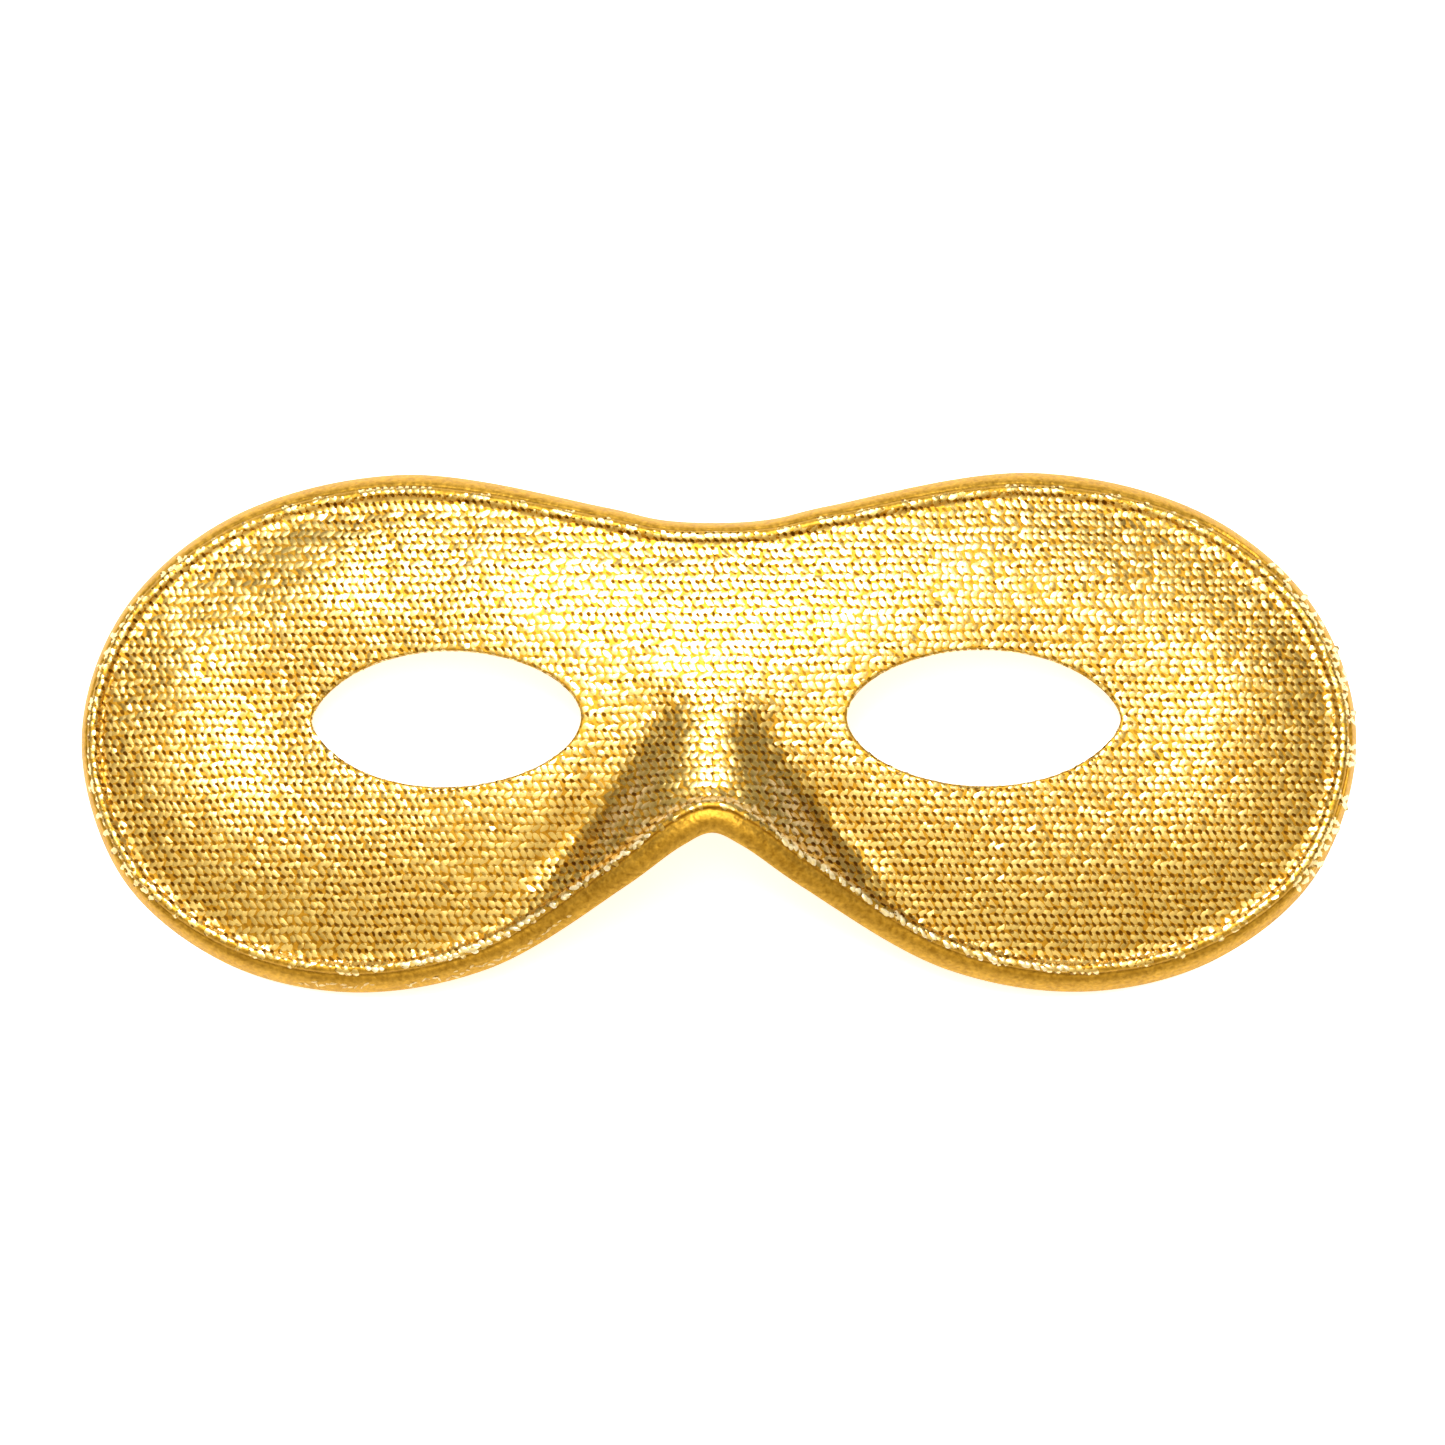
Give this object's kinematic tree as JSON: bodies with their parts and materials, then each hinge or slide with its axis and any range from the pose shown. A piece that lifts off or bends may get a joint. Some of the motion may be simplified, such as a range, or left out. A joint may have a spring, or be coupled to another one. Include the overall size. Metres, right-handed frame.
{
  "type": "costume eye mask",
  "caption": "Half mask that covers the eyes: a moulded front in gold metallic knit with almond eye holes, a raised nose bridge and a corded rim, hollow behind.",
  "frame": {"origin": "under the middle of the mask's outline, on the surface that the mask lies on face up", "axes": "+X to the right of someone who looks at the face, across both eyes; +Y to the brow; +Z out of the face"},
  "size_m": [0.18, 0.073, 0.0216],
  "materials": {
    "gold_lame": "metallic gold jersey knit, fine horizontal rows of chevron stitches, satin shine",
    "gold_rim": "the same gold knit stretched smooth over a cord, bright on the bead and ochre on the skirt"
  },
  "bodies": {
    "root": {"face_shell": "gold_lame", "rim_roll": "gold_rim"}
  },
  "joints": []
}
